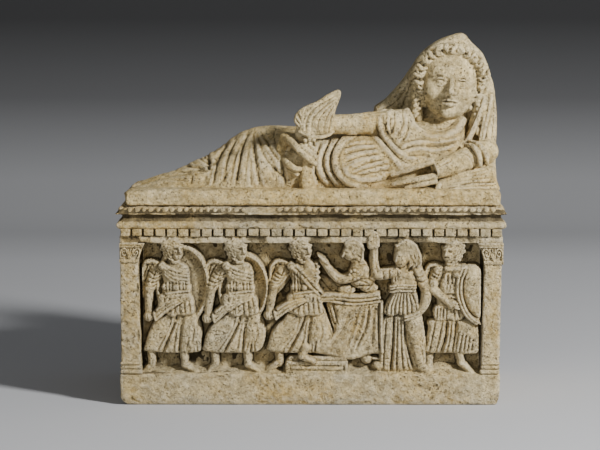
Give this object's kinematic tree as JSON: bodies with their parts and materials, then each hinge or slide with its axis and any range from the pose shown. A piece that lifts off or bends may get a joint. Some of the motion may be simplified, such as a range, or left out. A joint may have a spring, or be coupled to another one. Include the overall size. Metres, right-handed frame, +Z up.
{
  "type": "cinerary urn",
  "caption": "Hollow stone cinerary chest with a carved relief front and dentilled mouldings, under a loose lid carved as a reclining veiled figure.",
  "frame": {"origin": "middle of the chest's underside, on the ground", "axes": "+X along the length, from the figure's feet to its head; -Y out of the carved front; +Z up"},
  "size_m": [0.6654, 0.356, 0.6312],
  "materials": {
    "chest_stone": "worn, pitted, matte",
    "lid_stone": "worn, pitted, matte"
  },
  "bodies": {
    "root": {"chest": "chest_stone", "lid": "lid_stone"}
  },
  "joints": []
}
